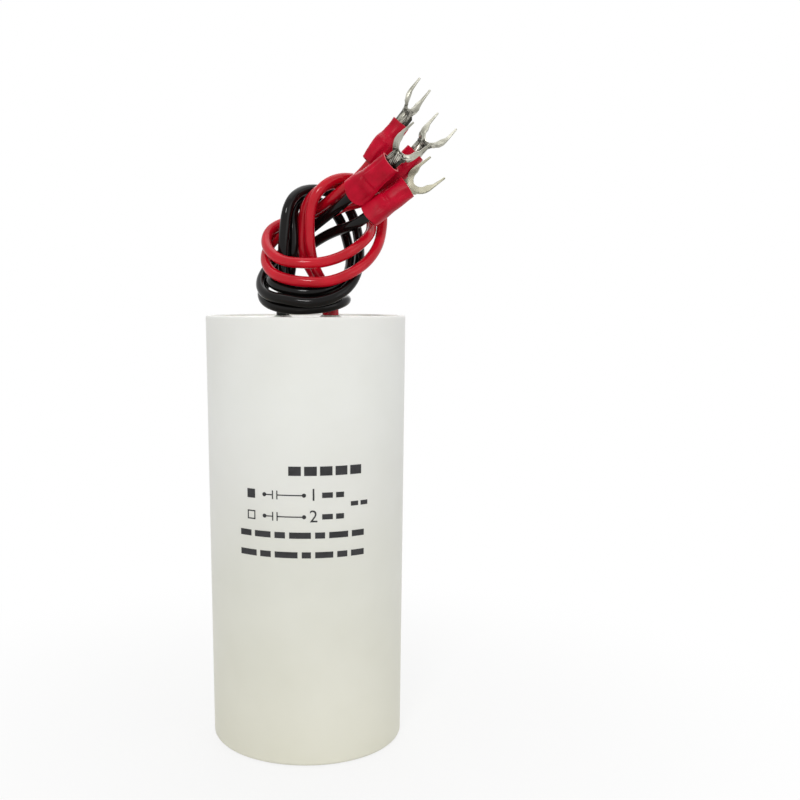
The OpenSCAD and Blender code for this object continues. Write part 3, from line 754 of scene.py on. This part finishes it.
def pushOut(rise):
    # what is selected is extruded straight up or down, in mm
    bpy.ops.mesh.extrude_region_move(TRANSFORM_OT_translate={"value": (0, 0, rise * mm)})


def ringAt(height, radius):
    # a test for the edges of one level ring round the cup's axis
    def onRing(edge):
        return all(abs(v.co.z - height * mm) < 1e-6 and abs(math.hypot(v.co.x, v.co.y) - radius * mm) < 1e-5
                   for v in edge.verts)
    return onRing


def makeCup():
    bpy.ops.mesh.primitive_cylinder_add(vertices=cup["segments"], radius=cup["radius"] * mm,
                                        depth=cup["height"] * mm, location=(0, 0, cup["height"] / 2 * mm))
    piece = bpy.context.object
    only(piece)
    bpy.ops.object.transform_apply(location=True, rotation=True, scale=True)
    bpy.ops.object.mode_set(mode="EDIT")
    bpy.ops.mesh.select_mode(type="FACE")
    mesh = bmesh.from_edit_mesh(piece.data)
    pick(mesh, faces=lambda f: f.normal.z > 0.9)
    bpy.ops.mesh.inset(thickness=cup["wall"] * mm)
    pushOut(cup["floor"] - cup["height"])
    mesh = bmesh.from_edit_mesh(piece.data)
    pick(mesh, faces=lambda f: f.normal.z < -0.9 and f.calc_center_median().z < 1e-5)
    bpy.ops.mesh.inset(thickness=(cup["foot"] + cup["footRing"]) * mm)
    pushOut(cup["recess"])
    bpy.ops.mesh.inset(thickness=(cup["radius"] - cup["foot"] - cup["footRing"] - cup["gate"]) * mm)
    pushOut(-cup["recess"] / 2)
    mesh = bmesh.from_edit_mesh(piece.data)
    bpy.ops.mesh.select_mode(type="EDGE")
    pick(mesh, edges=ringAt(0, cup["radius"]))
    bpy.ops.mesh.bevel(offset=cup["foot"] * mm, segments=cup["footSteps"], affect="EDGES")
    for radius in (cup["radius"], cup["radius"] - cup["wall"]):
        mesh = bmesh.from_edit_mesh(piece.data)
        pick(mesh, edges=ringAt(cup["height"], radius))
        bpy.ops.mesh.bevel(offset=cup["rim"] * mm, segments=cup["rimSteps"], affect="EDGES")
    bpy.ops.object.mode_set(mode="OBJECT")
    return settle(piece, "cup", paint["whitePolypropylene"], ["case"], angle=30)


makeCup()
print("cup moulded")


# print on the cup: plain symbols, numbers and bars, no words; in mm round the cup and up it
ink = {"lift": 0.03, "sink": 0.02, "turn": 2.0, "strips": 22, "weld": 0.0005}
titleBars = {"up": 74.4, "thick": 2.2, "left": -4.6, "widths": (3.0, 3.0, 3.0, 3.0, 3.0), "gap": 0.75}
sideBars = {"up": 66.2, "thick": 1.1, "left": 10.6, "widths": (2.0, 2.0), "gap": 0.7}
upperBars = {"up": 58.9, "thick": 1.5, "left": -17.5, "widths": (3.2, 4.2, 2.6, 5.2, 2.4, 4.8, 3.4), "gap": 1.0}
lowerBars = {"up": 54.1, "thick": 1.5, "left": -17.5, "widths": (4.6, 2.8, 5.6, 2.2, 4.4, 2.6, 3.6), "gap": 1.0}
ratings = {"Upper": {"up": 68.6, "number": "1", "hollow": False}, "Lower": {"up": 63.4, "number": "2", "hollow": True}}
symbol = {"line": 0.28, "dots": (-10.6, -0.9), "dotRadius": 0.5, "leads": ((-9.5, 2.0), (-4.2, 6.4)),
          "plates": (-8.5, -7.4), "plateHeight": 2.1}
mark = {"at": -14.2, "size": 2.2, "line": 0.3}
number = {"at": 0.3, "size": 4.2, "smoothness": 3}
value = {"thick": 1.3, "left": 3.4, "widths": (2.6, 2.0), "gap": 0.8}


def wrapOnCup(piece, name):
    # the flat print goes onto the wall
    only(piece)
    bpy.ops.object.convert(target="MESH")
    piece = bpy.context.object
    bpy.ops.object.transform_apply(location=True, rotation=True, scale=True)
    bpy.ops.object.mode_set(mode="EDIT")
    bpy.ops.mesh.select_all(action="SELECT")
    bpy.ops.mesh.quads_convert_to_tris()
    bpy.ops.mesh.remove_doubles(threshold=ink["weld"])
    # cut into narrow upright strips, so that it bends with the wall
    for strip in range(-ink["strips"], ink["strips"] + 1):
        bpy.ops.mesh.select_all(action="SELECT")
        bpy.ops.mesh.bisect(plane_co=(strip, 0, 0), plane_no=(1, 0, 0))
    bpy.ops.mesh.select_all(action="SELECT")
    bpy.ops.mesh.extrude_region_move(TRANSFORM_OT_translate={"value": (0, 0, 1)})
    bpy.ops.object.mode_set(mode="OBJECT")
    for vertex in piece.data.vertices:
        x, y, z = vertex.co
        radius = cup["radius"] + (ink["lift"] if z > 0.5 else -ink["sink"])
        angle = x / cup["radius"] + math.radians(ink["turn"])
        vertex.co = Vector((radius * math.sin(angle), -radius * math.cos(angle), y)) * mm
    faceOutwards(piece)
    return settle(piece, name, paint["printInk"], angle=0)


def flatBar(x, y, width, height):
    bpy.ops.mesh.primitive_plane_add(size=1, location=(x, y, 0))
    bar = bpy.context.object
    bar.scale = (width, height, 1)
    return bar


def joined(parts):
    nothingSelected()
    for part in parts:
        part.select_set(True)
    bpy.context.view_layer.objects.active = parts[0]
    bpy.ops.object.transform_apply(location=True, rotation=True, scale=True)
    bpy.ops.object.join()
    return bpy.context.object


def plainNumber(text, y):
    bpy.ops.object.text_add(location=(number["at"], y, 0))
    piece = bpy.context.object
    piece.data.body = text
    piece.data.size = number["size"]
    piece.data.align_y = "CENTER"
    piece.data.resolution_u = number["smoothness"]
    only(piece)
    bpy.ops.object.convert(target="MESH")
    return bpy.context.object


def capacitorSymbol(y):
    # lead, two plates, lead, with a dot at each end
    parts = []
    for x in symbol["dots"]:
        bpy.ops.mesh.primitive_circle_add(vertices=20, radius=symbol["dotRadius"], fill_type="NGON",
                                          location=(x, y, 0))
        parts.append(bpy.context.object)
    parts += [flatBar(x, y, width, symbol["line"]) for x, width in symbol["leads"]]
    parts += [flatBar(x, y, symbol["line"], symbol["plateHeight"]) for x in symbol["plates"]]
    return joined(parts)


def barRow(row, y):
    parts, x = [], row["left"]
    for width in row["widths"]:
        parts.append(flatBar(x + width / 2, y, width, row["thick"]))
        x += width + row["gap"]
    return joined(parts)


def squareMark(y, hollow):
    square = flatBar(mark["at"], y, mark["size"], mark["size"])
    only(square)
    bpy.ops.object.transform_apply(location=True, rotation=True, scale=True)
    if hollow:
        bpy.ops.object.mode_set(mode="EDIT")
        bpy.ops.mesh.select_mode(type="FACE")
        bpy.ops.mesh.select_all(action="SELECT")
        bpy.ops.mesh.inset(thickness=mark["line"])
        bpy.ops.mesh.delete(type="FACE")
        bpy.ops.object.mode_set(mode="OBJECT")
    return square


def makePrint():
    wrapOnCup(barRow(titleBars, titleBars["up"]), "printTitleBars")
    for side, rating in ratings.items():
        y = rating["up"]
        wrapOnCup(capacitorSymbol(y), "printSymbol" + side)
        wrapOnCup(plainNumber(rating["number"], y), "printNumber" + side)
        wrapOnCup(barRow(value, y), "printValue" + side)
        wrapOnCup(squareMark(y, rating["hollow"]), "printMark" + side)
    wrapOnCup(barRow(sideBars, sideBars["up"]), "printSideBars")
    wrapOnCup(barRow(upperBars, upperBars["up"]), "printBarsUpper")
    wrapOnCup(barRow(lowerBars, lowerBars["up"]), "printBarsLower")


makePrint()
print("print wrapped on the cup")


# what stays as the CAD made it gets its finish
carried = {
    "castResin": ["potting_resin"],
    "pressedBoard": ["bottom_pad", "middle_disc"],
    "metallisedFilm": ["lower_winding", "upper_winding"],
    "corePlastic": ["lower_core", "upper_core"],
    "sprayedZinc": ["lower_bottom_spray", "lower_top_spray", "upper_bottom_spray", "upper_top_spray"],
    "redLeadPvc": ["red_tail_1", "red_tail_2"],
    "blackLeadPvc": ["black_tail_1", "black_tail_2"],
    "tinSolder": ["red_solder_1", "red_solder_2", "black_solder_1", "black_solder_2"],
}
for finish, names in carried.items():
    for name in names:
        nodes[name].data.materials.clear()
        nodes[name].data.materials.append(paint[finish])
print("carried-over pieces finished")


# floor, lamps and background
studio = {
    "floor": tone(232, 232, 231),
    "floorSize": 6,
    "floorDrop": 0.0002,
    "floorRough": 0.9,
    "floorGloss": 0.1,
    "fadeFrom": 0.03, "fadeTo": 0.16,  # distance from the object's axis over which the floor turns white
    "whiteNear": 0.8,  # how white it already is by the object
    "ambient": 0.52,
    "aim": (0, 0, 0.08),
    "key": {"place": (-0.22, -0.87, 0.62), "size": 0.2, "power": 3.1},
    "fill": {"place": (0.75, -0.6, 0.35), "size": 0.6, "power": 1.05},
    "back": {"place": (0.1, 0.9, 0.6), "size": 0.8, "power": 2.0},
    "top": {"place": (0.05, 0.1, 0.95), "size": 0.8, "power": 1.8},
}


def seenDirectly(tree):
    # 1 on rays from the camera, from reflections and through clear things, 0 on light that lands
    n, link = tree.nodes, tree.links.new
    path, first, both = n.new("ShaderNodeLightPath"), n.new("ShaderNodeMath"), n.new("ShaderNodeMath")
    first.operation = both.operation = "MAXIMUM"
    link(path.outputs["Is Camera Ray"], first.inputs[0])
    link(path.outputs["Is Glossy Ray"], first.inputs[1])
    link(first.outputs[0], both.inputs[0])
    link(path.outputs["Is Transmission Ray"], both.inputs[1])
    return both.outputs[0]


def makeAir():
    world = bpy.data.worlds.new("studioAir")
    world.use_nodes = True
    scene.world = world
    n, link = world.node_tree.nodes, world.node_tree.links.new
    lights = n["Background"]
    lights.inputs["Color"].default_value = (1, 1, 1, 1)
    lights.inputs["Strength"].default_value = studio["ambient"]
    seen, mix = n.new("ShaderNodeBackground"), n.new("ShaderNodeMixShader")
    seen.inputs["Color"].default_value = (1, 1, 1, 1)
    seen.inputs["Strength"].default_value = 1.0
    link(seenDirectly(world.node_tree), mix.inputs["Fac"])
    link(lights.outputs[0], mix.inputs[1])
    link(seen.outputs[0], mix.inputs[2])
    link(mix.outputs[0], n["World Output"].inputs["Surface"])


def makeFloor():
    bpy.ops.mesh.primitive_plane_add(size=studio["floorSize"], location=(0, 0, -studio["floorDrop"]))
    floor = bpy.context.object
    floor.name = "studioFloor"
    material = bpy.data.materials.new("floorPaper")
    material.use_nodes = True
    n, link = material.node_tree.nodes, material.node_tree.links.new
    paper, output = n["Principled BSDF"], n["Material Output"]
    paper.inputs["Base Color"].default_value = studio["floor"]
    paper.inputs["Roughness"].default_value = studio["floorRough"]
    paper.inputs["Specular IOR Level"].default_value = studio["floorGloss"]
    # the paper fades to plain white away from the object, and keeps its shadow near it
    white, mix, where = n.new("ShaderNodeEmission"), n.new("ShaderNodeMixShader"), n.new("ShaderNodeTexCoord")
    distance, fade, share = n.new("ShaderNodeVectorMath"), n.new("ShaderNodeMapRange"), n.new("ShaderNodeMath")
    distance.operation = "LENGTH"
    fade.interpolation_type = "SMOOTHSTEP"
    setSpan(fade, "From", (studio["fadeFrom"], studio["fadeTo"]))
    setSpan(fade, "To", (studio["whiteNear"], 1))
    share.operation = "MULTIPLY"
    link(where.outputs["Object"], distance.inputs[0])
    link(distance.outputs["Value"], fade.inputs["Value"])
    link(fade.outputs["Result"], share.inputs[0])
    link(seenDirectly(material.node_tree), share.inputs[1])
    link(share.outputs[0], mix.inputs["Fac"])
    link(paper.outputs[0], mix.inputs[1])
    link(white.outputs[0], mix.inputs[2])
    link(mix.outputs[0], output.inputs["Surface"])
    floor.data.materials.append(material)


def hangLamps():
    for label in ("key", "fill", "back", "top"):
        lamp = studio[label]
        bpy.ops.object.light_add(type="AREA", location=lamp["place"])
        light = bpy.context.object
        light.name = label + "Lamp"
        light.data.shape = "SQUARE"
        light.data.size = lamp["size"]
        light.data.energy = lamp["power"]
        aim = Vector(studio["aim"]) - Vector(lamp["place"])
        light.rotation_euler = aim.to_track_quat("-Z", "Y").to_euler()


makeAir()
makeFloor()
hangLamps()
scene.view_settings.view_transform = "Standard"
print("studio lit")
